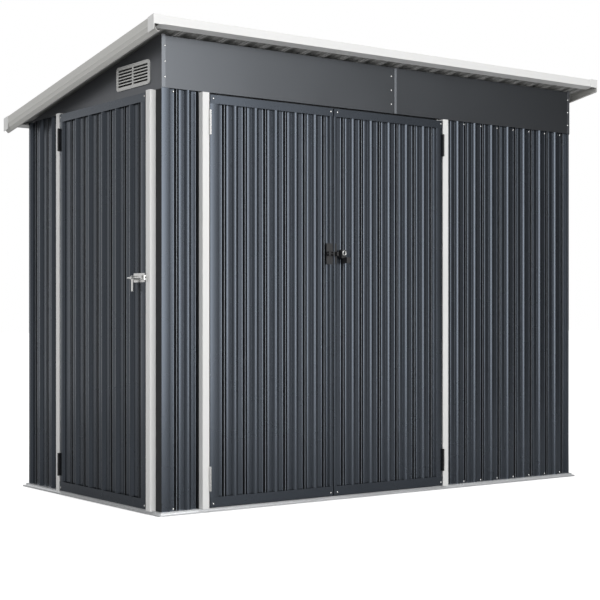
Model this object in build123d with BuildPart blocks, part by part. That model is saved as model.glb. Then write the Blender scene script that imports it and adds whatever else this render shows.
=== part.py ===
from build123d import *
from math import atan, cos, sin
import os

# Walls, in millimetres: the corner of the crest planes stands at these sizes
wall_width = 2380.0
wall_depth = 1229.0

# Lean-to roof, high at the front
roof_top = 1995.0
roof_fall = 0.179
front_overhang = 100.0
side_overhang = 94.0
rear_overhang = 71.0

# Metal and seats
sheet = 1.2
plate = 1.5
seat = 0.3
door_gap = 5.0

# Rolled ribs of every corrugated sheet, depths counted inwards from the crest
crest_half = 14.0
pan_depth = 12.0
pan_start = 21.0
shoulder_depth = 10.0
shoulder_half = 14.5
slot_outer = 11.5
slot_inner = 4.5
groove_depth = 22.0
bead_half = 3.0
bead_depth = 10.0
strip_slope = 3.0

# Base rail
rail_height = 16.0
rail_lip_height = 7.0
rail_nose = 21.0
rail_ledge = 10.0
rail_upstand = 60.0

# Header panels above the doors
header_drop = 265.0
gable_drop = 5.0
header_flange = 25.0
fascia_joint_share = 0.5143
corner_flange = 16.0

# Doors and jambs
door_proud = 28.0
jamb_width = 32.0
stop_lip = 12.0
leaf_top_drop = 13.0
top_rail_height = 35.0
bottom_rail_height = 41.0
front_door_start = 210.0
front_door_width = 1290.0
side_door_width = 777.0
side_door_from_front = 78.0
left_leaf_margins = (76.0, 41.5)
left_leaf_strips = (41.0, 16.0)
right_leaf_margins = (59.6, 58.8)
right_leaf_strips = (16.0, 34.0)
side_leaf_margins = (92.0, 69.0)
side_leaf_strips = (25.0, 40.0)
front_leaf_pitch = 104.0
side_leaf_pitch = 121.0

# Sheets of the fixed walls: where the first bead stands and how far the ribs are apart
corner_first_bead = 76.4
corner_pitch = 105.0
right_first_bead = 67.8
right_pitch = 110.4
side_rear_first_bead = 53.0
side_rear_pitch = 121.0
plain_pitch = 110.0
edge_strip = 18.0
right_edge_strip = 9.0
edge_slack = 1.0
wall_lap = 30.0

# Roof edge trims
trim_height = 35.0
verge_height = 57.0
trim_top_lip = 28.0
eave_bottom_lip = 45.0
verge_bottom_lip = 20.0
cap_leg = 45.0
cap_metal = 2.0
roof_pitch = 107.0
roof_edge_gap = 3.0

# Gable vents
vent_width = 275.0
vent_height = 101.0
vent_radius = 14.0
vent_from_front = 88.0
vent_rise = 26.0
vent_proud = 5.0
vent_border = 12.0
vent_slots = 6
vent_slot_height = 8.0
vent_mullion = 8.0

# Hinges
hinge_height = 102.0
hinge_low = 88.0
hinge_top_drop = 178.0
knuckle_radius = 4.5
pin_radius = 2.0
pin_clearance = 0.05
knuckle_gap = 0.5
knuckle_standoff = 1.0
hinge_plate = 1.2
hinge_plate_depth = 16.0

# Slide bolts: plates on the leaf, keepers past the gap
bolt_radius = 4.0
bolt_clearance = 0.5
bolt_travel = 30.0
bolt_plate = 2.0
bolt_standoff = 8.0
guide_length = 8.0
guide_width = 18.0
guide_depth = 15.0
bolt_inset = 3.0
keeper_inset = 6.0
knob_radius = 6.0
knob_length = 16.0
front_bolt_height = 1080.0
front_plate_length = 34.0
front_plate_height = 92.0
side_bolt_height = 964.0
side_plate_length = 90.0
side_plate_height = 37.0
side_bolt_tail = 34.0

# Frame inside
frame_leg = 28.0
frame_height = 30.0
front_rail_rise = 2.0
side_rail_drop = 10.0

# Worked-out places
roof_width = wall_width + 2 * side_overhang
roof_depth = wall_depth + front_overhang + rear_overhang
left_x = -wall_width / 2
right_x = wall_width / 2
eave_y = -roof_depth / 2
front_y = eave_y + front_overhang
rear_y = front_y + wall_depth
roof_tilt = atan(roof_fall)
header_bottom = roof_top - header_drop
gable_bottom = header_bottom - gable_drop
header_rail_top = header_bottom + front_rail_rise
side_rail_top = header_bottom - side_rail_drop
leaf_top = header_bottom - leaf_top_drop
hinge_high = header_bottom - hinge_top_drop
vent_bottom = header_bottom + vent_rise
fascia_joint = wall_width * fascia_joint_share
front_door_end = front_door_start + front_door_width
side_door_end = wall_depth - side_door_from_front
side_door_start = side_door_end - side_door_width
sheet_depth = groove_depth + sheet
leaf_rail_depth = sheet_depth + seat + 2 * plate
cap_height = verge_height + cap_metal
leaf_bottom = rail_height + door_gap
sheet_back = sheet_depth + seat
leaf_back = door_proud - leaf_rail_depth
stop_face = leaf_back - door_gap
leaf_skin = door_proud - plate
knuckle_out = door_proud + knuckle_standoff + knuckle_radius
crest_drop = trim_height - seat - (plate + sheet_depth) / cos(roof_tilt)

os.makedirs("parts", exist_ok=True)


def save(piece, name):
    piece.part.label = name
    export_step(piece.part, f"parts/{name}.step")


def wall_plane(wall, height=0.0, start=0.0, proud=0.0):
    """Plan plane of a wall: X runs left to right as seen from outside, Y runs inwards."""
    corner, along = {
        "front": ((left_x, front_y), (1, 0, 0)),
        "left": ((left_x, rear_y), (0, -1, 0)),
        "rear": ((right_x, rear_y), (-1, 0, 0)),
        "right": ((right_x, front_y), (0, 1, 0)),
    }[wall]
    base = Plane(origin=(*corner, height), x_dir=along, z_dir=(0, 0, 1))
    return Plane(
        origin=base.from_local_coords((start, -proud, 0)),
        x_dir=along,
        z_dir=(0, 0, 1),
    )


def cross_plane(wall, start=0.0):
    """Upright plane across a wall: X runs inwards, Y runs up, and it looks along the wall."""
    base = wall_plane(wall, 0.0, start)
    return Plane(origin=base.origin, x_dir=base.y_dir, z_dir=base.x_dir)


def slope_z(y, drop=0.0):
    """Height of a plane parallel to the roof, this far below the trims' top edge."""
    return roof_top - roof_fall * (y - eave_y) - drop


def roof_under(y):
    """Height of the lowest line of the roof sheet."""
    return slope_z(y, trim_height - plate / cos(roof_tilt) - seat)


def plate_outline(points):
    """The outline of folded plate: along its points, and back on their left at plate thickness."""
    corners = [Vector(*point) for point in points]
    runs = [(after - before).normalized() for before, after in zip(corners, corners[1:])]
    sides = [Vector(-run.Y, run.X) for run in runs]
    folds = zip(corners, [sides[0], *sides], [*sides, sides[-1]])
    back = [corner + (one + other) * (plate / (1 + one.dot(other))) for corner, one, other in folds]
    return Polyline(*corners, *reversed(back), close=True)


def folded(plane, points, length, direction=None):
    """A strip of plate folded along the points of its section, with the metal on their left."""
    with BuildPart() as strip:
        with BuildSketch(plane):
            with BuildLine():
                plate_outline(points)
            make_face()
        extrude(amount=length, dir=direction)
    return strip


def corrugated(plane, width, height, beads, first_bead, pitch, strips, returns=(0.0, 0.0)):
    """A sheet with rounded crests and twin-grooved beads, flat strips and folded-back edges."""
    last_bead = first_bead + (beads - 1) * pitch
    left_strip, right_strip = strips
    left_return, right_return = returns
    with BuildPart() as panel:
        with BuildSketch(plane):
            with BuildLine():
                for skin in (0.0, sheet):
                    left_edge = skin if left_return else 0.0
                    right_edge = width - (skin if right_return else 0.0)
                    pan_reach = pitch / 2 - crest_half + skin
                    half_bead = [
                        (pan_start, pan_depth),
                        (shoulder_half, shoulder_depth),
                        (slot_outer + skin, shoulder_depth),
                        (slot_outer + skin, groove_depth),
                        (slot_inner - skin, groove_depth),
                        (bead_half - skin, bead_depth),
                    ]
                    left_fold = [(left_edge, left_return)] if left_return else []
                    right_fold = [(right_edge, right_return)] if right_return else []
                    Polyline(
                        *left_fold,
                        (left_edge, skin),
                        (left_strip, skin),
                        (left_strip + strip_slope, pan_depth + skin),
                        (first_bead - pan_start, pan_depth + skin),
                    )
                    for number in range(beads):
                        centre = first_bead + number * pitch
                        left_half = [(centre - reach, deep + skin) for reach, deep in half_bead]
                        right_half = [(centre + reach, deep + skin) for reach, deep in half_bead]
                        Polyline(*left_half, *reversed(right_half))
                    for number in range(beads - 1):
                        centre = first_bead + number * pitch
                        crest = centre + pitch / 2
                        following = centre + pitch
                        Line(
                            (centre + pan_start, pan_depth + skin),
                            (centre + pan_reach, pan_depth + skin),
                        )
                        ThreePointArc(
                            (centre + pan_reach, pan_depth + skin),
                            (crest, skin),
                            (following - pan_reach, pan_depth + skin),
                        )
                        Line(
                            (following - pan_reach, pan_depth + skin),
                            (following - pan_start, pan_depth + skin),
                        )
                    Polyline(
                        (last_bead + pan_start, pan_depth + skin),
                        (width - right_strip - strip_slope, pan_depth + skin),
                        (width - right_strip, skin),
                        (right_edge, skin),
                        *right_fold,
                    )
                if left_return:
                    Line((0, left_return), (sheet, left_return))
                else:
                    Line((0, 0), (0, sheet))
                if right_return:
                    Line((width, right_return), (width - sheet, right_return))
                else:
                    Line((width, 0), (width, sheet))
            make_face()
        extrude(amount=height)
    return panel


def beads_between(width, first_bead, last_strip, pitch):
    """How many beads fit on a sheet from its first bead to its last flat strip."""
    room = width - first_bead - last_strip - strip_slope - pan_start - edge_slack
    return int(room // pitch) + 1


def plain_sheet(wall, start, end, top):
    """A wall sheet with equal flat strips at both edges and as many ribs as fit between."""
    width = end - start
    nearest = edge_strip + strip_slope + pan_start + edge_slack
    beads = beads_between(width, nearest, edge_strip, plain_pitch)
    margin = (width - (beads - 1) * plain_pitch) / 2
    return corrugated(
        wall_plane(wall, rail_height, start),
        width,
        top - rail_height,
        beads,
        margin,
        plain_pitch,
        (edge_strip, edge_strip),
    )


# Base rail: a rolled box rail with a stepped nose, mitred at the corners
doorways = {"front": (front_door_start, front_door_end), "left": (side_door_start, side_door_end)}
for wall, length in (
    ("front", wall_width),
    ("rear", wall_width),
    ("left", wall_depth),
    ("right", wall_depth),
):
    with BuildPart() as rail:
        with BuildSketch(cross_plane(wall, -rail_nose)):
            with BuildLine():
                Polyline(
                    (-rail_nose, 0),
                    (-rail_nose, rail_lip_height),
                    (-rail_ledge, rail_lip_height),
                    (-rail_ledge, rail_height),
                    (sheet_back, rail_height),
                    (sheet_back, rail_upstand),
                    (sheet_back + plate, rail_upstand),
                    (sheet_back + plate, 0),
                    close=True,
                )
            make_face()
            with BuildLine():
                Polyline(
                    (plate - rail_nose, plate),
                    (plate - rail_nose, rail_lip_height - plate),
                    (plate - rail_ledge, rail_lip_height - plate),
                    (plate - rail_ledge, rail_height - plate),
                    (sheet_back, rail_height - plate),
                    (sheet_back, plate),
                    close=True,
                )
            make_face(mode=Mode.SUBTRACT)
        extrude(amount=length + 2 * rail_nose)
        if wall in doorways:
            gap_start, gap_end = doorways[wall]
            with BuildSketch(wall_plane(wall, rail_height)):
                with Locations(((gap_start + gap_end) / 2, sheet_back)):
                    Rectangle(gap_end - gap_start, 2 * leaf_rail_depth)
            extrude(amount=rail_upstand, mode=Mode.SUBTRACT)
        base = wall_plane(wall)
        for near, turn in ((0.0, 1), (length, -1)):
            split(
                bisect_by=Plane(
                    origin=base.from_local_coords((near, 0, 0)),
                    z_dir=base.x_dir * turn - base.y_dir,
                ),
                keep=Keep.TOP,
            )
    save(rail, f"base_rail_{wall}")

# Front wall: a narrow corner sheet that turns the corner, and a wide sheet right of the doors
front_sheet_height = header_bottom + wall_lap - rail_height
corner_width = front_door_start - plate - seat
side_return = wall_depth - side_door_end - plate - seat
corner_panel = corrugated(
    wall_plane("front", rail_height),
    corner_width,
    front_sheet_height,
    beads_between(corner_width, corner_first_bead, 0.0, corner_pitch),
    corner_first_bead,
    corner_pitch,
    (corner_first_bead - corner_pitch / 2 + crest_half, edge_slack),
    (side_return, 0.0),
)
save(corner_panel, "front_corner_panel")

right_start = front_door_end + plate + seat
right_width = wall_width - right_start
right_panel = corrugated(
    wall_plane("front", rail_height, right_start),
    right_width,
    front_sheet_height,
    beads_between(right_width, right_first_bead, right_edge_strip, right_pitch),
    right_first_bead,
    right_pitch,
    (edge_strip, right_edge_strip),
)
save(right_panel, "front_right_panel")

# Left wall behind its door, right wall and rear wall, with side sheets cut to the roof slope
roof_cut = Plane(origin=(0, 0, roof_under(0) - seat), z_dir=(0, roof_fall, 1))
sheet_cut = Plane(origin=(0, 0, roof_under(0) - 2 * (seat + plate)), z_dir=(0, roof_fall, 1))
side_sheet_height = gable_bottom + wall_lap - rail_height
side_rear_width = side_door_start - plate - seat - sheet
with BuildPart() as left_rear_panel:
    add(
        corrugated(
            wall_plane("left", rail_height, sheet),
            side_rear_width,
            side_sheet_height,
            beads_between(side_rear_width, side_rear_first_bead, edge_strip, side_rear_pitch),
            side_rear_first_bead,
            side_rear_pitch,
            (edge_strip, edge_strip),
        ).part
    )
    split(bisect_by=sheet_cut, keep=Keep.BOTTOM)
save(left_rear_panel, "left_rear_panel")

for name, start, end in (
    ("right_front_panel", sheet, wall_depth / 2),
    ("right_rear_panel", wall_depth / 2, wall_depth - sheet),
):
    with BuildPart() as side_panel:
        add(plain_sheet("right", start, end, gable_bottom + wall_lap).part)
        split(bisect_by=sheet_cut, keep=Keep.BOTTOM)
    save(side_panel, name)

for name, start, end in (
    ("rear_right_panel", 0.0, wall_width / 2),
    ("rear_left_panel", wall_width / 2, wall_width),
):
    save(plain_sheet("rear", start, end, roof_under(rear_y) - seat), name)

# Corner posts: angles inside the flat strips of the wall sheets
post_leg = right_edge_strip - seat
with BuildPart() as corner_posts:
    for wall in ("front", "left", "rear", "right"):
        post_top = header_rail_top if wall in ("front", "right") else side_rail_top
        with BuildSketch(wall_plane(wall, rail_height)):
            with BuildLine():
                plate_outline([(sheet, post_leg), (sheet, sheet), (post_leg, sheet)])
            make_face()
        extrude(amount=post_top - rail_height)
save(corner_posts, "corner_posts")

# Door jambs: white channels that stand on the base rail, with a stop lip behind the leaf
for name, wall, start, door_side in (
    ("front_left_jamb", "front", front_door_start - jamb_width, 1),
    ("front_right_jamb", "front", front_door_end, -1),
    ("side_rear_jamb", "left", side_door_start - jamb_width, 1),
    ("side_front_jamb", "left", side_door_end, -1),
):
    left_foot, right_foot = (0, sheet_depth) if door_side > 0 else (sheet_depth, 0)
    door_edge = jamb_width if door_side > 0 else 0
    with BuildPart() as jamb:
        with BuildSketch(wall_plane(wall, rail_height, start)):
            with BuildLine():
                plate_outline(
                    [
                        (0, left_foot),
                        (0, -door_proud),
                        (jamb_width, -door_proud),
                        (jamb_width, right_foot),
                    ]
                )
            make_face()
            with Locations((door_edge + door_side * stop_lip / 2, plate / 2 - stop_face)):
                Rectangle(stop_lip, plate)
        extrude(amount=gable_bottom - rail_height)
    save(jamb, name)

# Rails inside the tops of the walls, and the purlin under the roof
rail_reach = sheet_back + frame_leg + seat
for name, wall, start, length, top in (
    ("front_header_rail", "front", sheet_back, wall_width - 2 * sheet_back, header_rail_top),
    ("left_header_rail", "left", rail_reach, wall_depth - 2 * rail_reach, side_rail_top),
    ("right_header_rail", "right", rail_reach, wall_depth - 2 * rail_reach, side_rail_top),
    (
        "rear_header_rail",
        "rear",
        sheet_back,
        wall_width - 2 * sheet_back,
        roof_under(rear_y - sheet_back) - seat,
    ),
):
    angle = folded(
        cross_plane(wall, start),
        [(sheet_back + frame_leg, top), (sheet_back, top), (sheet_back, top - frame_height)],
        length,
    )
    save(angle, name)

purlin_y = (front_y + rear_y) / 2
purlin_top = roof_under(purlin_y + frame_leg / 2) - seat
purlin_start = left_x + header_flange + seat
purlin = folded(
    Plane.YZ.offset(purlin_start),
    [
        (purlin_y + frame_leg / 2, purlin_top - frame_height),
        (purlin_y + frame_leg / 2, purlin_top),
        (purlin_y - frame_leg / 2, purlin_top),
        (purlin_y - frame_leg / 2, purlin_top - frame_height),
    ],
    -2 * purlin_start,
)
save(purlin, "roof_purlin")

# Header panels above the front: two plates with a flange under the roof sheet
fascia_top = roof_under(front_y + header_flange) - seat
for name, start, end in (
    ("fascia_left", 0.0, fascia_joint),
    ("fascia_right", fascia_joint, wall_width),
):
    fascia = folded(
        cross_plane("front", start),
        [(0, header_bottom), (0, fascia_top - plate), (header_flange, fascia_top - plate)],
        end - start,
    )
    save(fascia, name)

# Gable panels: plates cut to the roof slope, with a flange under the roof and one round the corner
vent_y = front_y + vent_from_front + vent_width / 2
vent_z = vent_bottom + vent_height / 2
for side, turn in (("left", -1), ("right", 1)):
    wall_x = turn * right_x
    flange_start = front_y + header_flange + seat
    flange_end = rear_y - rail_reach
    with BuildPart() as gable:
        with BuildSketch(Plane.YZ.offset(wall_x)):
            with BuildLine():
                Polyline(
                    (front_y - plate, gable_bottom),
                    (rear_y, gable_bottom),
                    (rear_y, roof_top),
                    (front_y - plate, roof_top),
                    close=True,
                )
            make_face()
        extrude(amount=turn * plate)
        with BuildSketch(Plane.XY.offset(header_bottom)):
            with Locations((wall_x + turn * (plate - corner_flange) / 2, front_y - plate - plate / 2)):
                Rectangle(corner_flange + plate, plate)
        extrude(amount=roof_top - header_bottom)
        split(bisect_by=roof_cut, keep=Keep.BOTTOM)
        with BuildSketch(Plane.YZ.offset(wall_x)):
            with BuildLine():
                Polyline(
                    (flange_start, roof_under(flange_start) - seat),
                    (flange_end, roof_under(flange_end) - seat),
                    (flange_end, roof_under(flange_end) - seat - plate),
                    (flange_start, roof_under(flange_start) - seat - plate),
                    close=True,
                )
            make_face()
        extrude(amount=-turn * header_flange)
        with BuildSketch(Plane.YZ.offset(wall_x)):
            with Locations((vent_y, vent_z)):
                Rectangle(vent_width - 2 * vent_border, vent_height - 2 * vent_border)
        extrude(amount=turn * plate, mode=Mode.SUBTRACT)
    save(gable, f"gable_panel_{side}")

    slot_width = (vent_width - 2 * vent_border - vent_mullion) / 2
    slot_rise = (vent_height - 2 * vent_border) / vent_slots
    with BuildPart() as vent:
        with BuildSketch(Plane.YZ.offset(wall_x + turn * plate)):
            with Locations((vent_y, vent_z)):
                RectangleRounded(vent_width, vent_height, vent_radius)
                with GridLocations(slot_width + vent_mullion, slot_rise, 2, vent_slots):
                    RectangleRounded(slot_width, vent_slot_height, vent_slot_height / 2.5, mode=Mode.SUBTRACT)
        extrude(amount=turn * vent_proud)
    save(vent, f"gable_vent_{side}")

# Roof sheets: ribs run down the slope, lying on the lips of the eave trims
slope_down = (0, cos(roof_tilt), -sin(roof_tilt))
roof_margin = plate + roof_edge_gap
roof_sheet_start = eave_y + roof_margin
roof_sheet_length = (roof_depth - 2 * roof_margin) / cos(roof_tilt) - sheet_depth * roof_fall
half_roof = roof_width / 2 - roof_margin
nearest_rib = edge_strip + strip_slope + pan_start + edge_slack
roof_beads = beads_between(half_roof, nearest_rib, edge_strip, roof_pitch)
for name, start in (("roof_sheet_left", -half_roof), ("roof_sheet_right", 0.0)):
    under = Plane(
        origin=(start, roof_sheet_start, roof_under(roof_sheet_start)),
        x_dir=(1, 0, 0),
        z_dir=slope_down,
    )
    crest_plane = Plane(
        origin=under.from_local_coords((0, -sheet_depth, 0)),
        x_dir=(1, 0, 0),
        z_dir=slope_down,
    )
    roof_sheet = corrugated(
        crest_plane,
        half_roof,
        roof_sheet_length,
        roof_beads,
        (half_roof - (roof_beads - 1) * roof_pitch) / 2,
        roof_pitch,
        (edge_strip, edge_strip),
    )
    save(roof_sheet, name)

# Eave trims: channels that grip the sheet at the front and the rear
trim_end = roof_width / 2 - trim_top_lip - seat
front_section = [
    (eave_y + trim_top_lip, slope_z(eave_y + trim_top_lip, crest_drop - seat)),
    (eave_y + trim_top_lip, slope_z(eave_y + trim_top_lip)),
    (eave_y, slope_z(eave_y)),
    (eave_y, slope_z(eave_y, trim_height)),
    (eave_y + eave_bottom_lip, slope_z(eave_y + eave_bottom_lip, trim_height)),
]
rear_edge = -eave_y
rear_section = [
    (rear_edge - eave_bottom_lip, slope_z(rear_edge - eave_bottom_lip, trim_height)),
    (rear_edge, slope_z(rear_edge, trim_height)),
    (rear_edge, slope_z(rear_edge)),
    (rear_edge - trim_top_lip, slope_z(rear_edge - trim_top_lip)),
    (rear_edge - trim_top_lip, slope_z(rear_edge - trim_top_lip, crest_drop - seat)),
]
for name, section, start in (
    ("eave_trim_front_left", front_section, -trim_end),
    ("eave_trim_front_right", front_section, 0.0),
    ("eave_trim_rear_left", rear_section, -trim_end),
    ("eave_trim_rear_right", rear_section, 0.0),
):
    save(folded(Plane.YZ.offset(start), section, trim_end), name)

# Verge trims: deeper channels down both slopes
edge_x = roof_width / 2
verge_plane = Plane(origin=(0, eave_y, 0), x_dir=(1, 0, 0), z_dir=(0, -1, 0))
verge_section = [
    (-edge_x + trim_top_lip, slope_z(eave_y, crest_drop - seat)),
    (-edge_x + trim_top_lip, roof_top),
    (-edge_x, roof_top),
    (-edge_x, roof_top - verge_height),
    (-edge_x + verge_bottom_lip, roof_top - verge_height),
]
mirrored_section = [(-x, z) for x, z in reversed(verge_section)]
for name, section in (("verge_trim_left", verge_section), ("verge_trim_right", mirrored_section)):
    save(folded(verge_plane, section, roof_depth / cos(roof_tilt), slope_down), name)

# Corner caps: folded caps over the ends of the trims
with BuildPart() as corner_caps:
    for side in (-1, 1):
        for end in (-1, 1):
            outer = (edge_x + cap_metal, rear_edge + cap_metal, -cap_metal, cap_height)
            inner = (edge_x, rear_edge, 0.0, cap_height)
            for size, mode in ((outer, Mode.ADD), (inner, Mode.SUBTRACT)):
                reach_x, reach_y, top_drop, bottom_drop = size
                far_y = end * reach_y
                near_y = end * (rear_edge - cap_leg)
                with BuildSketch(Plane.YZ.offset(side * (edge_x - cap_leg))):
                    with BuildLine():
                        Polyline(
                            (near_y, slope_z(near_y, top_drop)),
                            (far_y, slope_z(far_y, top_drop)),
                            (far_y, slope_z(far_y, bottom_drop)),
                            (near_y, slope_z(near_y, bottom_drop)),
                            close=True,
                        )
                    make_face()
                extrude(amount=side * (reach_x - edge_x + cap_leg), mode=mode)
            face_drop = trim_height + cap_metal
            near_y, far_y = end * rear_edge, end * (rear_edge + cap_metal)
            with BuildSketch(Plane.YZ.offset(side * (edge_x - cap_leg))):
                with BuildLine():
                    Polyline(
                        (near_y, slope_z(near_y, face_drop)),
                        (far_y, slope_z(far_y, face_drop)),
                        (far_y, slope_z(far_y, 2 * cap_height)),
                        (near_y, slope_z(near_y, 2 * cap_height)),
                        close=True,
                    )
                make_face()
            extrude(amount=side * cap_leg, mode=Mode.SUBTRACT)
save(corner_caps, "roof_corner_caps")


def leaf_parts(name, wall, start, end, margins, pitch, strips):
    """A door leaf: a ribbed sheet with folded edges, held in a top and a bottom channel."""
    width = end - start
    first_bead, last_margin = margins
    steps = round((width - first_bead - last_margin) / pitch)
    edge_fold = leaf_rail_depth - 2 * plate - seat
    skin = corrugated(
        wall_plane(wall, leaf_bottom + plate, start, leaf_skin),
        width,
        leaf_top - leaf_bottom - 2 * plate,
        steps + 1,
        first_bead,
        (width - first_bead - last_margin) / steps,
        strips,
        (edge_fold, edge_fold),
    )
    save(skin, f"{name}_sheet")
    with BuildPart() as rails:
        for edge, height, outer, inner in (
            (leaf_top, -top_rail_height, -leaf_back, -door_proud),
            (leaf_bottom, bottom_rail_height, -door_proud, -leaf_back),
        ):
            with BuildSketch(cross_plane(wall, start)):
                with BuildLine():
                    plate_outline(
                        [(outer, edge + height), (outer, edge), (inner, edge), (inner, edge + height)]
                    )
                make_face()
            extrude(amount=width)
    save(rails, f"{name}_rails")


def hinge_pair(name, wall, jamb_edge, leaf_side):
    """Two butt hinges in the gap beside a leaf, with their pins in the jamb's halves."""
    knuckle = (hinge_height - 2 * knuckle_gap) / 3
    pin_x = leaf_side * door_gap / 2
    plate_out = knuckle_out - knuckle_radius - knuckle_gap
    plate_in = door_proud - hinge_plate_depth
    tab_out = knuckle_out - (pin_radius + knuckle_radius) / 2
    fixed_x = leaf_side * hinge_plate / 2
    moving_x = leaf_side * (door_gap - hinge_plate / 2)
    steps = [number * (knuckle + knuckle_gap) for number in range(3)]
    with BuildPart() as fixed:
        for base in (hinge_low, hinge_high):
            with BuildSketch(wall_plane(wall, base, jamb_edge)):
                with Locations((fixed_x, -(plate_out + plate_in) / 2)):
                    Rectangle(hinge_plate, plate_out - plate_in)
                with Locations((pin_x, -knuckle_out)):
                    Circle(pin_radius)
            extrude(amount=hinge_height)
            for step in (steps[0], steps[2]):
                with BuildSketch(wall_plane(wall, base + step, jamb_edge)):
                    with Locations((pin_x, -knuckle_out)):
                        Circle(knuckle_radius)
                    with Locations((fixed_x, -(tab_out + plate_in) / 2)):
                        Rectangle(hinge_plate, tab_out - plate_in)
                extrude(amount=knuckle)
    save(fixed, f"{name}_jamb_hinges")
    with BuildPart() as moving:
        for base in (hinge_low, hinge_high):
            with BuildSketch(wall_plane(wall, base, jamb_edge)):
                with Locations((moving_x, -(plate_out + plate_in) / 2)):
                    Rectangle(hinge_plate, plate_out - plate_in)
            extrude(amount=hinge_height)
            with BuildSketch(wall_plane(wall, base + steps[1], jamb_edge)):
                with Locations((moving_x, -(tab_out + plate_in) / 2)):
                    Rectangle(hinge_plate, tab_out - plate_in)
                with Locations((pin_x, -knuckle_out)):
                    Circle(knuckle_radius)
                    Circle(pin_radius + pin_clearance, mode=Mode.SUBTRACT)
            extrude(amount=knuckle)
    save(moving, f"{name}_hinges")


def slide_bolt(name, wall, leaf_edge, length, height, level, keeper_surface, tail):
    """A slide bolt on the leaf, drawn back, and the keeper that it enters past the gap."""
    axis_out = leaf_skin + bolt_plate + bolt_standoff
    plate_end = leaf_edge - bolt_inset
    with BuildPart() as base:
        with BuildSketch(wall_plane(wall, level - height / 2, plate_end - length, leaf_skin)):
            with Locations((length / 2, -bolt_plate / 2)):
                Rectangle(length, bolt_plate)
        extrude(amount=height)
        for guide_start in (plate_end - length + bolt_inset, plate_end - guide_length):
            with BuildSketch(cross_plane(wall, guide_start)):
                with Locations((-leaf_skin - bolt_plate - guide_depth / 2, level)):
                    Rectangle(guide_depth, guide_width)
                with Locations((-axis_out, level)):
                    Circle(bolt_radius + bolt_clearance, mode=Mode.SUBTRACT)
            extrude(amount=guide_length)
    save(base, f"{name}_latch_plate")
    knob_start = plate_end - length + bolt_inset + guide_length + knob_radius + bolt_clearance
    knob_room = length - bolt_inset - 2 * guide_length - 2 * knob_radius
    with BuildPart() as bolt:
        with BuildSketch(cross_plane(wall, plate_end - length - tail)):
            with Locations((-axis_out, level)):
                Circle(bolt_radius)
        extrude(amount=length + tail + bolt_clearance)
        if knob_room > bolt_travel:
            knob_seat = wall_plane(wall, level, knob_start, axis_out)
            with BuildSketch(Plane(origin=knob_seat.origin, z_dir=-knob_seat.y_dir)):
                Circle(knob_radius)
            extrude(amount=knob_length)
    save(bolt, f"{name}_bolt")
    keeper_start = leaf_edge + door_gap + keeper_inset
    with BuildPart() as keeper:
        with BuildSketch(cross_plane(wall, keeper_start)):
            with BuildLine():
                Polyline(
                    (-keeper_surface, level - height / 2),
                    (-keeper_surface, level + height / 2),
                    (-keeper_surface - bolt_plate, level + height / 2),
                    (-keeper_surface - bolt_plate, level + guide_width / 2),
                    (-leaf_skin - bolt_plate - guide_depth, level + guide_width / 2),
                    (-leaf_skin - bolt_plate - guide_depth, level - guide_width / 2),
                    (-keeper_surface - bolt_plate, level - guide_width / 2),
                    (-keeper_surface - bolt_plate, level - height / 2),
                    close=True,
                )
            make_face()
            with Locations((-axis_out, level)):
                Circle(bolt_radius + bolt_clearance, mode=Mode.SUBTRACT)
        extrude(amount=guide_length)
    save(keeper, f"{name}_keeper")


front_middle = (front_door_start + front_door_end) / 2
leaf_parts(
    "left_leaf",
    "front",
    front_door_start + door_gap,
    front_middle - door_gap / 2,
    left_leaf_margins,
    front_leaf_pitch,
    left_leaf_strips,
)
leaf_parts(
    "right_leaf",
    "front",
    front_middle + door_gap / 2,
    front_door_end - door_gap,
    right_leaf_margins,
    front_leaf_pitch,
    right_leaf_strips,
)
leaf_parts(
    "side_leaf",
    "left",
    side_door_start + door_gap,
    side_door_end - door_gap,
    side_leaf_margins,
    side_leaf_pitch,
    side_leaf_strips,
)
hinge_pair("left_leaf", "front", front_door_start, 1)
hinge_pair("right_leaf", "front", front_door_end, -1)
hinge_pair("side_leaf", "left", side_door_start, 1)
slide_bolt(
    "front",
    "front",
    front_middle - door_gap / 2,
    front_plate_length,
    front_plate_height,
    front_bolt_height,
    leaf_skin,
    bolt_inset,
)
slide_bolt(
    "side",
    "left",
    side_door_end - door_gap,
    side_plate_length,
    side_plate_height,
    side_bolt_height,
    door_proud,
    side_bolt_tail,
)
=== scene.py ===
import math

import bpy
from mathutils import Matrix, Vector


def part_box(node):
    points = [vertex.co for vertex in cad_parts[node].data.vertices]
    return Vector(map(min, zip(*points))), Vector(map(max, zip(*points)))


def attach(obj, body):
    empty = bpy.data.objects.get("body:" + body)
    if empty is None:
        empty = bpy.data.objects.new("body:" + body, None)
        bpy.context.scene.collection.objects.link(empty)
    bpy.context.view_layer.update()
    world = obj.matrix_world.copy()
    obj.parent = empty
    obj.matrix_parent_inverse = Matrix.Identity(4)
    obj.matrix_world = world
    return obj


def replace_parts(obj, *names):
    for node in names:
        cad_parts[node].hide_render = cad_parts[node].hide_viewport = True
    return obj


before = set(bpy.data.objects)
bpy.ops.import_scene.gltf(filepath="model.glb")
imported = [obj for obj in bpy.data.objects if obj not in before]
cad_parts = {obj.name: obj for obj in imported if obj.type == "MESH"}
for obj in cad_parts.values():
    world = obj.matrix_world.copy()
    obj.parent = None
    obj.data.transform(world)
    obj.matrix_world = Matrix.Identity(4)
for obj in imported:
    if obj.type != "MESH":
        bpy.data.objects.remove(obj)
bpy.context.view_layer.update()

# The view: a long lens at standing waist height, off the left front corner,
# level, and raised a little in its frame so that the upright lines stay upright.
camera_data = bpy.data.cameras.new("camera")
camera_data.sensor_width = 36
camera_data.lens = 82.6
camera_data.shift_y = 0.0297
camera_data.clip_end = 200
camera = bpy.data.objects.new("camera", camera_data)
camera.location = (-4.030, -5.397, 0.800)
camera.rotation_euler = (math.radians(90), 0, -math.atan2(0.5930, 0.8052))
bpy.context.scene.collection.objects.link(camera)
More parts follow.
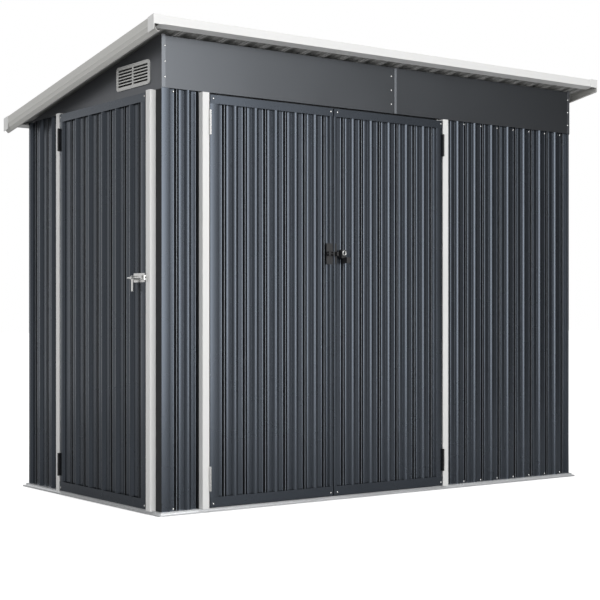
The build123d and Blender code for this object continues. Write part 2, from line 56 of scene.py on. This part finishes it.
bpy.context.scene.camera = camera
bpy.context.scene.view_settings.view_transform = "Standard"

# The room: a white world behind everything, with a softer light of its own,
# so that the paint shows the colour that it has.
ambient_strength = 0.55
world = bpy.data.worlds.new("studio_world")
bpy.context.scene.world = world
world.use_nodes = True
tree = world.node_tree
tree.nodes.clear()
rays = tree.nodes.new("ShaderNodeLightPath")
seen = tree.nodes.new("ShaderNodeMath")
seen.operation = "MAXIMUM"
seen_too = tree.nodes.new("ShaderNodeMath")
seen_too.operation = "MAXIMUM"
dim = tree.nodes.new("ShaderNodeBackground")
dim.inputs["Strength"].default_value = ambient_strength
white = tree.nodes.new("ShaderNodeBackground")
white.inputs["Color"].default_value = (1, 1, 1, 1)
white.inputs["Strength"].default_value = 1
both = tree.nodes.new("ShaderNodeMixShader")
sky = tree.nodes.new("ShaderNodeOutputWorld")
dim.inputs["Color"].default_value = (1, 1, 1, 1)
tree.links.new(rays.outputs["Is Camera Ray"], seen.inputs[0])
tree.links.new(rays.outputs["Is Glossy Ray"], seen.inputs[1])
tree.links.new(seen.outputs[0], seen_too.inputs[0])
tree.links.new(rays.outputs["Is Transmission Ray"], seen_too.inputs[1])
tree.links.new(seen_too.outputs[0], both.inputs[0])
tree.links.new(dim.outputs[0], both.inputs[1])
tree.links.new(white.outputs[0], both.inputs[2])
tree.links.new(both.outputs[0], sky.inputs[0])

# The floor: one plain pale sheet that the shed stands on, which keeps its shadow.
# It turns white with the distance, so that no edge shows against the room.
floor_reach = 60
below_rail = 0.0005
floor_corners = ((-1, -1), (1, -1), (1, 1), (-1, 1))
floor_mesh = bpy.data.meshes.new("floor")
floor_mesh.from_pydata(
    [(x * floor_reach, y * floor_reach, -below_rail) for x, y in floor_corners],
    [],
    [(0, 1, 2, 3)],
)
floor = bpy.data.objects.new("floor", floor_mesh)
bpy.context.scene.collection.objects.link(floor)
floor_paint = bpy.data.materials.new("floor_paint")
floor_paint.use_nodes = True
tree = floor_paint.node_tree
shade = tree.nodes["Principled BSDF"]
shade.inputs["Roughness"].default_value = 0.9
shade.inputs["Specular IOR Level"].default_value = 0
rays = tree.nodes.new("ShaderNodeLightPath")
tone = tree.nodes.new("ShaderNodeMapRange")
tone.inputs["To Min"].default_value = 0.45
tone.inputs["To Max"].default_value = 0.98
tree.links.new(rays.outputs["Is Camera Ray"], tone.inputs["Value"])
tree.links.new(tone.outputs["Result"], shade.inputs["Base Color"])
spot = tree.nodes.new("ShaderNodeTexCoord")
away = tree.nodes.new("ShaderNodeVectorMath")
away.operation = "LENGTH"
lift = tree.nodes.new("ShaderNodeMapRange")
lift.inputs["From Min"].default_value = 1.2
lift.inputs["From Max"].default_value = 3.0
lift.inputs["To Min"].default_value = 0.55
lift.inputs["To Max"].default_value = 1.0
seen = tree.nodes.new("ShaderNodeMath")
seen.operation = "MULTIPLY"
shade.inputs["Emission Color"].default_value = (1, 1, 1, 1)
tree.links.new(spot.outputs["Object"], away.inputs[0])
tree.links.new(away.outputs["Value"], lift.inputs["Value"])
tree.links.new(lift.outputs["Result"], seen.inputs[0])
tree.links.new(rays.outputs["Is Camera Ray"], seen.inputs[1])
tree.links.new(seen.outputs[0], shade.inputs["Emission Strength"])
floor.data.materials.append(floor_paint)


# The studio wall: a round screen that only shows in the gloss of the metal. It is
# brightest in front, much dimmer on the left and behind, and dark on the right.
def reflected_screen(radius, height, stops):
    """A ring round the shed. Each stop is a turn from the front, in degrees, and its light."""
    rim = 96
    points = []
    for level in (0, height):
        for step in range(rim):
            turn = 2 * math.pi * step / rim
            points.append((radius * math.sin(turn), -radius * math.cos(turn), level))
    faces = [(i, (i + 1) % rim, rim + (i + 1) % rim, rim + i) for i in range(rim)]
    mesh = bpy.data.meshes.new("studio_wall")
    mesh.from_pydata(points, [], faces)
    wall = bpy.data.objects.new("studio_wall", mesh)
    bpy.context.scene.collection.objects.link(wall)
    glow = bpy.data.materials.new("studio_wall_light")
    glow.use_nodes = True
    tree = glow.node_tree
    tree.nodes.clear()
    place = tree.nodes.new("ShaderNodeTexCoord")
    axes = tree.nodes.new("ShaderNodeSeparateXYZ")
    back = tree.nodes.new("ShaderNodeMath")
    back.operation = "MULTIPLY"
    back.inputs[1].default_value = -1
    turn = tree.nodes.new("ShaderNodeMath")
    turn.operation = "ARCTAN2"
    share = tree.nodes.new("ShaderNodeMapRange")
    share.inputs["From Min"].default_value = -math.pi
    share.inputs["From Max"].default_value = math.pi
    ramp = tree.nodes.new("ShaderNodeValToRGB")
    emit = tree.nodes.new("ShaderNodeEmission")
    out = tree.nodes.new("ShaderNodeOutputMaterial")
    brightest = max(value for angle, value in stops)
    emit.inputs["Strength"].default_value = brightest
    while len(ramp.color_ramp.elements) < len(stops):
        ramp.color_ramp.elements.new(0.5)
    for element, (angle, value) in zip(ramp.color_ramp.elements, stops):
        element.position = (angle + 180) / 360
        element.color = (value / brightest,) * 3 + (1,)
    tree.links.new(place.outputs["Object"], axes.inputs[0])
    tree.links.new(axes.outputs["Y"], back.inputs[0])
    tree.links.new(axes.outputs["X"], turn.inputs[0])
    tree.links.new(back.outputs[0], turn.inputs[1])
    tree.links.new(turn.outputs[0], share.inputs["Value"])
    tree.links.new(share.outputs["Result"], ramp.inputs[0])
    tree.links.new(ramp.outputs["Color"], emit.inputs["Color"])
    tree.links.new(emit.outputs[0], out.inputs["Surface"])
    mesh.materials.append(glow)
    wall.visible_camera = False
    wall.visible_diffuse = False
    wall.visible_transmission = False
    wall.visible_volume_scatter = False
    wall.visible_shadow = False


reflected_screen(
    6.0,
    7.0,
    (
        (-180, 1.0),
        (-160, 1.3),
        (-143, 0.8),
        (-125, 0.4),
        (-90, 0.45),
        (-60, 0.35),
        (-35, 0.5),
        (-20, 1.1),
        (-5, 3.4),
        (11, 4.4),
        (20, 1.3),
        (27, 0.66),
        (37, 0.34),
        (52, 0.05),
        (150, 0.2),
        (180, 1.0),
    ),
)


# The lamps: a large soft box in front, a weaker one from the left, and one above.
# They light the coats, and none of them shows in the gloss.
def soft_box(name, place, aim, width, height, level):
    """A soft lamp turned to its aim. Its level is the same however large it is."""
    data = bpy.data.lights.new(name, "AREA")
    data.shape = "RECTANGLE"
    data.size = width
    data.size_y = height
    data.energy = level * math.pi * width * height
    lamp = bpy.data.objects.new(name, data)
    lamp.location = place
    away = [p - a for p, a in zip(place, aim)]
    flat = math.hypot(away[0], away[1])
    lamp.rotation_euler = (math.atan2(flat, away[2]), 0, math.atan2(away[1], away[0]) + math.pi / 2)
    lamp.visible_camera = False
    lamp.visible_glossy = False
    bpy.context.scene.collection.objects.link(lamp)


soft_box("front_lamp", (-0.5, -7.0, 2.6), (0, 0, 1.0), 6.0, 4.0, 3.0)
soft_box("left_lamp", (-6.5, -2.5, 2.6), (0, 0, 1.0), 4.0, 3.5, 1.4)
soft_box("top_lamp", (0, 0, 6.5), (0, 0, 0), 5.0, 4.0, 2.0)


# Base rail: a rolled zinc-coated rail with a stepped nose round the foot of the walls.
# Folded from thin strip, mitred at the corners, dull bright.
def metal_finish(name, colour, metallic, roughness, grain, depth, spread):
    """A coated metal: its colour, sheen and fine grain vary a little over the surface."""
    made = bpy.data.materials.new(name)
    made.use_nodes = True
    tree = made.node_tree
    shade = tree.nodes["Principled BSDF"]
    shade.inputs["Metallic"].default_value = metallic
    place = tree.nodes.new("ShaderNodeTexCoord")
    cloud = tree.nodes.new("ShaderNodeTexNoise")
    cloud.inputs["Scale"].default_value = 3.5
    cloud.inputs["Detail"].default_value = 4
    tint = tree.nodes.new("ShaderNodeMix")
    tint.data_type = "RGBA"
    tint.inputs[6].default_value = tuple(c * (1 - spread) for c in colour) + (1,)
    tint.inputs[7].default_value = tuple(c * (1 + spread) for c in colour) + (1,)
    gloss = tree.nodes.new("ShaderNodeMapRange")
    gloss.inputs["To Min"].default_value = roughness - 0.04
    gloss.inputs["To Max"].default_value = roughness + 0.04
    fine = tree.nodes.new("ShaderNodeTexNoise")
    fine.inputs["Scale"].default_value = grain
    fine.inputs["Detail"].default_value = 3
    bump = tree.nodes.new("ShaderNodeBump")
    bump.inputs["Strength"].default_value = 0.25
    bump.inputs["Distance"].default_value = depth
    tree.links.new(place.outputs["Object"], cloud.inputs["Vector"])
    tree.links.new(place.outputs["Object"], fine.inputs["Vector"])
    tree.links.new(cloud.outputs["Fac"], tint.inputs[0])
    tree.links.new(tint.outputs[2], shade.inputs["Base Color"])
    tree.links.new(cloud.outputs["Fac"], gloss.inputs["Value"])
    tree.links.new(gloss.outputs["Result"], shade.inputs["Roughness"])
    tree.links.new(fine.outputs["Fac"], bump.inputs["Height"])
    tree.links.new(bump.outputs["Normal"], shade.inputs["Normal"])
    return made


def finish_nodes(made, *nodes):
    """Gives a finish to carried-over pieces, in every slot that they have."""
    for node in nodes:
        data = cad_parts[node].data
        if not data.materials:
            data.materials.append(made)
        for number in range(len(data.materials)):
            data.materials[number] = made


rail_zinc = metal_finish("rail_zinc", (0.80, 0.81, 0.82), 0.7, 0.3, 260, 0.0002, 0.04)
finish_nodes(
    rail_zinc, "base_rail_front", "base_rail_rear", "base_rail_left", "base_rail_right"
)

# Inner frame: zinc-coated angles in the corners and a purlin under the roof,
# folded from strip and screwed to the sheets.
frame_zinc = metal_finish("frame_zinc", (0.6, 0.61, 0.62), 0.9, 0.42, 180, 0.0002, 0.08)
finish_nodes(frame_zinc, "corner_posts", "roof_purlin")

# Wall sheets: thin steel rolled with round crests, gently domed pans and twin-grooved beads,
# with a satin anthracite coat. The insides of the grooves are painted nearly black as painted
# shade. They stand in the base rail and are screwed to it bead by bead.
dark_coat = metal_finish("dark_coat", (0.082, 0.094, 0.112), 0.9, 0.27, 700, 0.0001, 0.05)
# A near-black copy of the coat for the groove faces: painted shade in the recesses.
groove_painted_shade = metal_finish("groove_painted_shade", (0.012, 0.013, 0.015), 0.2, 0.6, 700, 0.0001, 0.05)
back_coat = metal_finish("back_coat", (0.42, 0.42, 0.41), 0.1, 0.5, 400, 0.0001, 0.05)
# A lighter, rougher copy of the coat for the bead tops: a painted highlight.
bead_painted_highlight = metal_finish("bead_painted_highlight", (0.15, 0.165, 0.185), 0.85, 0.5, 700, 0.0001, 0.05)
sheet_metal = 1.2
crest_half = 16.5
pan_depth = 11.0
groove_outer = 10.5
groove_inner = 3.5
groove_depth = 22.0
groove_edge = 0.4
groove_shade = 0.3
bead_half = 2.4
bead_depth = 8.5
strip_slope = 5.0
crest_gap = 2.0
strip_gap = 4.0
bend = 1.0
bend_steps = 3
crest_steps = 14
plain_pitch = 110.0
plain_edges = 86.0
plain_strips = (18.0, 18.0)
# The pans beside a bead, from the crest in to the groove: each pair is how far a point
# lies from the groove, and how far it lies below the flat pan.
left_pan = (
    (22.0, 0.0),
    (9.0, 0.0),
    (5.5, 0.1),
    (3.2, -0.6),
    (1.5, -0.8),
    (0.3, -0.3),
)
right_pan = (
    (22.0, -0.6),
    (17.0, -1.0),
    (12.0, -1.3),
    (7.0, -1.3),
    (3.5, -0.9),
    (1.5, -0.4),
    (0.3, 0.0),
)


def rounded(points, radius, steps):
    """The same line with its corners rounded like a bend in sheet metal."""
    line = [points[0]]
    for before, corner, after in zip(points, points[1:], points[2:]):
        ends = []
        for other in (before, after):
            reach = math.dist(corner, other)
            cut = min(radius, reach * 0.45) / reach
            ends.append(tuple(c + (o - c) * cut for c, o in zip(corner, other)))
        for step in range(steps + 1):
            t = step / steps
            line.append(
                tuple(
                    (1 - t) ** 2 * a + 2 * t * (1 - t) * c + t * t * b
                    for a, c, b in zip(ends[0], corner, ends[1])
                )
            )
    line.append(points[-1])
    return line


def rib_line(width, beads, first_bead, pitch, strips, returns, skin):
    """Plan line of a ribbed sheet: across it, and inwards from the crests.

    Skin is how far the line lies behind the front face. The two strips are the flat
    edges, and the two returns are how deep the edges fold back.
    """
    left_edge = skin if returns[0] else 0.0
    right_edge = width - (skin if returns[1] else 0.0)
    line = [(left_edge, returns[0] - skin)] if returns[0] else []
    line += [
        (left_edge, 0.0),
        (strips[0], 0.0),
        (strips[0] + strip_slope, pan_depth),
    ]
    arc_half = crest_half - skin
    arc_radius = (arc_half**2 + pan_depth**2) / (2 * pan_depth)
    arc_reach = math.asin(arc_half / arc_radius)
    groove = (
        (groove_outer + skin, pan_depth + groove_edge),
        (groove_outer + skin, groove_depth),
        (groove_inner - skin, groove_depth),
        (bead_half - skin, bead_depth),
    )
    to_crest = pitch / 2 - crest_half - crest_gap
    left_strip_end = strips[0] + strip_slope + strip_gap
    right_strip_end = width - strips[1] - strip_slope - strip_gap
    for number in range(beads):
        centre = first_bead + number * pitch
        room_left = to_crest if number else centre - left_strip_end
        room_right = to_crest if number < beads - 1 else right_strip_end - centre
        for run, rise in left_pan:
            if groove_outer + run < room_left:
                line.append((centre - groove_outer - run - skin, pan_depth + rise))
        line += [(centre - reach, deep) for reach, deep in groove]
        line += [(centre + reach, deep) for reach, deep in reversed(groove)]
        for run, rise in reversed(right_pan):
            if groove_outer + run < room_right:
                line.append((centre + groove_outer + run + skin, pan_depth + rise))
        if number < beads - 1:
            for step in range(crest_steps + 1):
                turn = arc_reach * (2 * step / crest_steps - 1)
                line.append(
                    (
                        centre + pitch / 2 + arc_radius * math.sin(turn),
                        arc_radius * (1 - math.cos(turn)),
                    )
                )
    line += [
        (width - strips[1] - strip_slope, pan_depth),
        (width - strips[1], 0.0),
        (right_edge, 0.0),
    ]
    if returns[1]:
        line.append((right_edge, returns[1] - skin))
    return [(u, v + skin) for u, v in line]


def shown(name, points, faces, finish, slot, body, smooth=30):
    """A finished piece from points in millimetres: mesh, material, shading and body; its slot is
    not used.
    """
    mesh = bpy.data.meshes.new(name)
    mesh.from_pydata([tuple(c / 1000 for c in p) for p in points], [], faces)
    mesh.materials.append(finish)
    for face in mesh.polygons:
        face.use_smooth = True
    mesh.set_sharp_from_angle(angle=math.radians(smooth))
    piece = bpy.data.objects.new(name, mesh)
    bpy.context.scene.collection.objects.link(piece)
    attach(piece, body)
    return piece


def sheet_piece(name, node, body, slot, place, heights, line_facts):
    """Rolls a ribbed sheet along its height, front and back skin with closed edges.

    Its grooves get a near-black painted shade and its beads a lighter painted highlight, and on the
    roof its back gets a pale primer.
    """
    width, beads, first_bead, pitch, strips, returns = line_facts
    skins = []
    for skin in (0.0, sheet_metal):
        line = rib_line(width, beads, first_bead, pitch, strips, returns, skin)
        skins.append(rounded(line, bend, bend_steps))
    count = len(skins[0])
    points = []
    for end in (0, 1):
        for line in skins:
            for u, v in line:
                points.append(place(u, v, heights(u, v)[end]))
    faces = []
    low_front, low_back, high_front, high_back = (count * n for n in range(4))
    for i in range(count - 1):
        faces += [
            (low_front + i, low_front + i + 1, high_front + i + 1, high_front + i),
            (low_back + i + 1, low_back + i, high_back + i, high_back + i + 1),
            (low_front + i + 1, low_front + i, low_back + i, low_back + i + 1),
            (high_front + i, high_front + i + 1, high_back + i + 1, high_back + i),
        ]
    last = count - 1
    faces += [
        (low_front, high_front, high_back, low_back),
        (low_front + last, low_back + last, high_back + last, high_front + last),
    ]
    piece = shown(name, points, faces, dark_coat, slot, body)
    coats = {"groove": 1, "bead": 2, "back": 3}
    for coat in (groove_painted_shade, bead_painted_highlight, back_coat):
        piece.data.materials.append(coat)
    for i, (a, b) in enumerate(zip(skins[0], skins[0][1:])):
        front, back = piece.data.polygons[4 * i], piece.data.polygons[4 * i + 1]
        off_bead = abs((0.5 * (a[0] + b[0]) - first_bead + pitch / 2) % pitch - pitch / 2)
        # Faces deeper than the pans get the near-black painted shade.
        if 0.5 * (a[1] + b[1]) > pan_depth + groove_shade:
            front.material_index = coats["groove"]
        # The faces over the bead get the lighter coat as a painted highlight.
        elif off_bead < groove_inner:
            front.material_index = coats["bead"]
        if slot == "roof_sheet":
            back.material_index = coats["back"]
    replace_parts(piece, node)
    return piece


roof_fall = 0.179
side_cut_height = 1832.9


def wall_sheet(node, body, wall, first_bead, pitch, beads, strips, returns=(0.0, 0.0)):
    """A ribbed sheet in the place of its node: the wall says which way it faces."""
    low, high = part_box(node)
    low = [c * 1000 for c in low]
    high = [c * 1000 for c in high]
    corner = {
        "front": (low[0], low[1]),
        "left": (low[0], high[1]),
        "rear": (high[0], high[1]),
        "right": (high[0], low[1]),
    }[wall]
    along = {"front": (1, 0), "left": (0, -1), "rear": (-1, 0), "right": (0, 1)}[wall]
    inward = (-along[1], along[0])
    width = high[0] - low[0] if wall in ("front", "rear") else high[1] - low[1]

    def place(u, v, z):
        return (
            corner[0] + along[0] * u + inward[0] * v,
            corner[1] + along[1] * u + inward[1] * v,
            z,
        )

    def heights(u, v):
        top = high[2]
        if wall in ("left", "right") and body == "shell":
            top = min(top, side_cut_height - roof_fall * place(u, v, 0)[1])
        return low[2], top

    facts = (width, beads, first_bead, pitch, strips, returns)
    return sheet_piece(node + "_ribs", node, body, "dark_sheet", place, heights, facts)


wall_sheet("front_corner_panel", "shell", "front", 76.4, 105.0, 2, (37.9, 1.0), (76.2, 0.0))
wall_sheet("front_right_panel", "shell", "front", 67.8, 110.4, 8, (18.0, 9.0))
wall_sheet("left_rear_panel", "shell", "left", 53.0, 121.0, 3, plain_strips)
for node, wall in (
    ("right_front_panel", "right"),
    ("right_rear_panel", "right"),
    ("rear_right_panel", "rear"),
    ("rear_left_panel", "rear"),
):
    low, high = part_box(node)
    across = 1000 * (high[0] - low[0] if wall == "rear" else high[1] - low[1])
    beads = int((across - plain_edges) // plain_pitch) + 1
    margin = (across - (beads - 1) * plain_pitch) / 2
    wall_sheet(node, "shell", wall, margin, plain_pitch, beads, plain_strips)

# Door leaves: the same ribbed sheet with folded edges, held in a top and a bottom channel.
# The channels are folded plate with the same coat, screwed through near their ends.
leaf_edge = 23.2
leaf_beads = 6
for node, body, wall, first_bead, last_margin, strips in (
    ("left_leaf_sheet", "left_leaf", "front", 76.0, 41.5, (41.0, 16.0)),
    ("right_leaf_sheet", "right_leaf", "front", 59.6, 58.8, (16.0, 34.0)),
    ("side_leaf_sheet", "side_leaf", "left", 92.0, 69.0, (25.0, 40.0)),
):
    low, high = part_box(node)
    across = 1000 * (high[0] - low[0] if wall == "front" else high[1] - low[1])
    pitch = (across - first_bead - last_margin) / (leaf_beads - 1)
    wall_sheet(node, body, wall, first_bead, pitch, leaf_beads, strips, (leaf_edge, leaf_edge))
finish_nodes(dark_coat, "left_leaf_rails", "right_leaf_rails", "side_leaf_rails")

# Header panels and gables: flat plate, flanged under the roof and screwed to the folded rails
# behind. The header panels have the dark coat; the gables get a lighter copy of it as painted
# light.
panel_coat = metal_finish("panel_coat", (0.105, 0.112, 0.122), 0.85, 0.32, 700, 0.0001, 0.04)
finish_nodes(
    panel_coat,
    "fascia_left",
    "fascia_right",
    "front_header_rail",
    "left_header_rail",
    "right_header_rail",
    "rear_header_rail",
)

# A lighter copy of the panel coat on the gables: painted light.
gable_painted_light = metal_finish("gable_painted_light", (0.15, 0.157, 0.17), 0.8, 0.4, 700, 0.0001, 0.04)
finish_nodes(gable_painted_light, "gable_panel_left", "gable_panel_right")

# Roof sheets: the ribbed sheet again, run down the slope and resting on the lips of the
# eave trims. Their underside has only a pale grey primer.
roof_pitch = 107.0
roof_tilt = math.atan(roof_fall)
roof_down = (0.0, math.cos(roof_tilt), -math.sin(roof_tilt))
roof_in = (0.0, -math.sin(roof_tilt), -math.cos(roof_tilt))
for node in ("roof_sheet_left", "roof_sheet_right"):
    low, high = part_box(node)
    across = 1000 * (high[0] - low[0])
    beads = int((across - plain_edges) // roof_pitch) + 1
    margin = (across - (beads - 1) * roof_pitch) / 2
    lean = (groove_depth + sheet_metal) * math.sin(roof_tilt)
    start = (1000 * low[0], 1000 * low[1] + lean, 1000 * high[2])
    length = (1000 * (high[1] - low[1]) - lean) / math.cos(roof_tilt)

    def on_slope(u, v, w, start=start):
        return (
            start[0] + u,
            start[1] + roof_in[1] * v + roof_down[1] * w,
            start[2] + roof_in[2] * v + roof_down[2] * w,
        )

    def slope_ends(u, v, length=length):
        return 0.0, length

    facts = (across, beads, margin, roof_pitch, plain_strips, (0.0, 0.0))
    sheet_piece(node + "_ribs", node, "shell", "roof_sheet", on_slope, slope_ends, facts)

# White trims: folded steel with a satin off-white coat, along the eaves and as door jambs,
# with caps over the corners of the roof.
white_coat = metal_finish("white_coat", (0.80, 0.80, 0.79), 0.0, 0.45, 600, 0.0001, 0.015)
finish_nodes(
    white_coat,
    "front_left_jamb",
    "front_right_jamb",
    "side_rear_jamb",
    "side_front_jamb",
    "eave_trim_front_left",
    "eave_trim_front_right",
    "eave_trim_rear_left",
    "eave_trim_rear_right",
    "roof_corner_caps",
)

# Verge trims: the same folded steel down both slopes, in a greyer copy of the white coat that is
# painted shade. Below a crease the face leans in, and its foot is folded back under the roof.
verge_painted_shade = metal_finish("verge_painted_shade", (0.60, 0.595, 0.57), 0.0, 0.5, 600, 0.0001, 0.02)
for node, side in (("verge_trim_left", -1), ("verge_trim_right", 1)):
    low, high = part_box(node)
    edge = 1000 * max(abs(low[0]), abs(high[0]))
    start_y, top_z = 1000 * low[1], 1000 * high[2]
    length = 1000 * (high[1] - low[1]) / math.cos(roof_tilt)
    outer = (
        (28.0, -9.3),
        (28.0, 0.0),
        (0.0, 0.0),
        (0.0, -33.0),
        (1.2, -35.0),
        (4.0, -52.0),
        (18.0, -66.0),
        (26.0, -64.0),
    )
    inner = (
        (26.5, -9.3),
        (26.5, -1.5),
        (1.5, -1.5),
        (1.5, -32.5),
        (2.7, -34.5),
        (5.4, -51.2),
        (18.4, -64.3),
        (26.0, -62.5),
    )
    ring = outer + inner[::-1]
    points = []
    for far in (0.0, length):
        for inwards, rise in ring:
            points.append(
                (
                    side * (edge - inwards),
                    start_y + far * roof_down[1],
                    top_z + rise + far * roof_down[2],
                )
            )
    count = len(ring)
    faces = [(i, (i + 1) % count, count + (i + 1) % count, count + i) for i in range(count)]
    for i in range(len(outer) - 1):
        quad = (i, i + 1, count - 2 - i, count - 1 - i)
        faces += [quad[::-1], tuple(count + corner for corner in quad)]
    if side < 0:
        faces = [face[::-1] for face in faces]
    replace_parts(shown(node + "_steps", points, faces, verge_painted_shade, "white_trim", "shell"), node)

# Header strips: narrow folded strips over the corner and the joint of the header panels,
# set a little askew, so that they catch more light than the panels.
strip_foot, strip_head = 1731.0, 1936.0
plate_face, strip_face = -600.0, -603.2


def header_strip(name, left, right, askew):
    """A strip from left to right whose right edge stands further out."""
    points = []
    for z in (strip_foot, strip_head):
        points += [
            (left, plate_face, z),
            (left, strip_face, z),
            (right, strip_face - askew, z),
            (right, plate_face, z),
        ]
    faces = [(0, 1, 5, 4), (1, 2, 6, 5), (2, 3, 7, 6), (3, 0, 4, 7), (3, 2, 1, 0), (4, 5, 6, 7)]
    shown(name, points, faces, panel_coat, "dark_sheet", "shell")


header_strip("header_corner_strip", -1191.6, -1175.0, 2.6)
header_strip("header_joint_strip", 34.0, 46.0, 1.9)

# Gable vents: moulded light grey plastic with two columns of louvre slots, one in each
# gable just under the roof.
vent_plastic = metal_finish("vent_plastic", (0.60, 0.60, 0.585), 0.0, 0.55, 500, 0.0001, 0.02)
finish_nodes(vent_plastic, "gable_vent_left", "gable_vent_right")

# Hinges and latches: pressed steel, bright plated on the hinges of the left leaf and the latch of
# the side door. The right leaf's hinges get the black coat as painted shade; the other fittings are
# coated black.
bright_plate = metal_finish("bright_plate", (0.78, 0.78, 0.77), 1.0, 0.26, 900, 0.0001, 0.05)
# Black coat: the real coat of the latch parts, and painted shade on the right leaf's hinges.
black_coat_and_painted_shade = metal_finish("black_coat_and_painted_shade", (0.018, 0.018, 0.019), 0.0, 0.42, 900, 0.0001, 0.1)
finish_nodes(
    bright_plate,
    "left_leaf_jamb_hinges",
    "left_leaf_hinges",
    "side_latch_plate",
    "side_bolt",
    "side_keeper",
)
finish_nodes(
    black_coat_and_painted_shade,
    "right_leaf_jamb_hinges",
    "right_leaf_hinges",
    "side_leaf_jamb_hinges",
    "side_leaf_hinges",
    "front_latch_plate",
    "front_bolt",
    "front_keeper",
)

# Latch fittings: a plated tab hanging from the knob of the side bolt, and on the right leaf
# a black hasp block with a plated ring and a small black lock below it.
def fitting_block(name, low, high, finish, slot, body):
    points = []
    for z in (low[2], high[2]):
        for y in (low[1], high[1]):
            points += [(low[0], y, z), (high[0], y, z)]
    faces = [(0, 2, 3, 1), (4, 5, 7, 6), (0, 1, 5, 4), (2, 6, 7, 3), (0, 4, 6, 2), (1, 3, 7, 5)]
    shown(name, points, faces, finish, slot, body)


def fitting_ring(name, centre, radius, wire, finish, slot, body):
    """A ring of round wire that hangs flat in front of the door."""
    around, section = 28, 8
    points, faces = [], []
    for step in range(around):
        turn = 2 * math.pi * step / around
        for part in range(section):
            roll = 2 * math.pi * part / section
            reach = radius + wire * math.cos(roll)
            points.append(
                (
                    centre[0] + reach * math.cos(turn),
                    centre[1] + wire * math.sin(roll),
                    centre[2] + reach * math.sin(turn),
                )
            )
    for step in range(around):
        for part in range(section):
            a = step * section + part
            b = step * section + (part + 1) % section
            c = (step + 1) % around * section + (part + 1) % section
            d = (step + 1) % around * section + part
            faces.append((a, b, c, d))
    shown(name, points, faces, finish, slot, body, 60)


plated = (bright_plate, "bright_steel")
blackened = (black_coat_and_painted_shade, "black_steel")
hasp = ((-303.0, -645.0, 1062.0), (-278.0, -626.0, 1098.0))
lock = ((-285.0, -658.0, 1040.0), (-264.0, -626.0, 1066.0))
fitting_block("side_tab", (-1236.5, -449.0, 909.0), (-1234.5, -434.0, 962.0), *plated, "side_bolt")
fitting_block("front_hasp", *hasp, *blackened, "right_leaf")
fitting_block("front_lock", *lock, *blackened, "right_leaf")
fitting_ring("front_ring", (-291.0, -648.0, 1084.0), 9.0, 2.2, *plated, "right_leaf")

# Screws: small plated pan heads, through the beads at the foot and the top of the walls,
# at the ends of the door channels, and down the joints of the header panels.
head_radius = 4.2
head_height = 2.6


def screw_heads(name, body, places):
    """One mesh of pan heads. Each place is a point in millimetres and the way that it faces."""
    around = 12
    ways = {"front": ((1, 0), (0, -1)), "left": ((0, -1), (-1, 0))}
    rings = ((1.0, 0.0), (1.0, 0.25), (0.86, 0.62), (0.55, 0.9), (0.2, 1.0))
    points, faces = [], []
    for (x, y, z), facing in places:
        start = len(points)
        side, out = ways[facing]
        for reach, rise in rings:
            for step in range(around):
                turn = 2 * math.pi * step / around
                u = head_radius * reach * math.cos(turn)
                w = head_radius * reach * math.sin(turn)
                h = head_height * rise
                points.append((x + side[0] * u + out[0] * h, y + side[1] * u + out[1] * h, z + w))
        for ring in range(len(rings) - 1):
            for step in range(around):
                a = start + ring * around + step
                b = start + ring * around + (step + 1) % around
                faces.append((a, b, b + around, a + around))
        top = start + (len(rings) - 1) * around
        faces.append(tuple(top + step for step in range(around)))
        faces.append(tuple(start + step for step in reversed(range(around))))
    shown(name, points, faces, bright_plate, "bright_steel", body, 50)


left_edge, front_edge, rear_edge = -1190.0, -600.0, 629.0
seat_depth = 9.0
wall_screw_heights = (24.0, 1719.0)
wall_screw_pitch = 109.2
header_screw_heights = (1771.5, 1835.0, 1898.5)
leaf_screw_heights = (35.0, 1702.5)
channel_face = 28.0
wall_screws = []
for height in wall_screw_heights:
    wall_screws.append(((left_edge + 60.2, front_edge + seat_depth, height), "front"))
    for number in range(1, 8):
        across = left_edge + 1558.0 + number * wall_screw_pitch
        wall_screws.append(((across, front_edge + seat_depth, height), "front"))
for height in header_screw_heights:
    for across, proud in ((1208.6, 0.0), (13.1, 4.6), (2368.6, 3.0)):
        wall_screws.append(((left_edge + across, front_edge - proud, height), "front"))
screw_heads("wall_screws", "shell", wall_screws)
for name, body, wall, ends in (
    ("left_leaf_screws", "left_leaf", "front", (230.4, 840.2)),
    ("right_leaf_screws", "right_leaf", "front", (876.6, 1486.2)),
    ("side_leaf_screws", "side_leaf", "left", (387.4, 1140.4)),
):
    places = []
    for along_wall in ends:
        for height in leaf_screw_heights:
            if wall == "front":
                point = (left_edge + along_wall, front_edge - channel_face, height)
            else:
                point = (left_edge - channel_face, rear_edge - along_wall, height)
            places.append((point, wall))
    screw_heads(name, body, places)
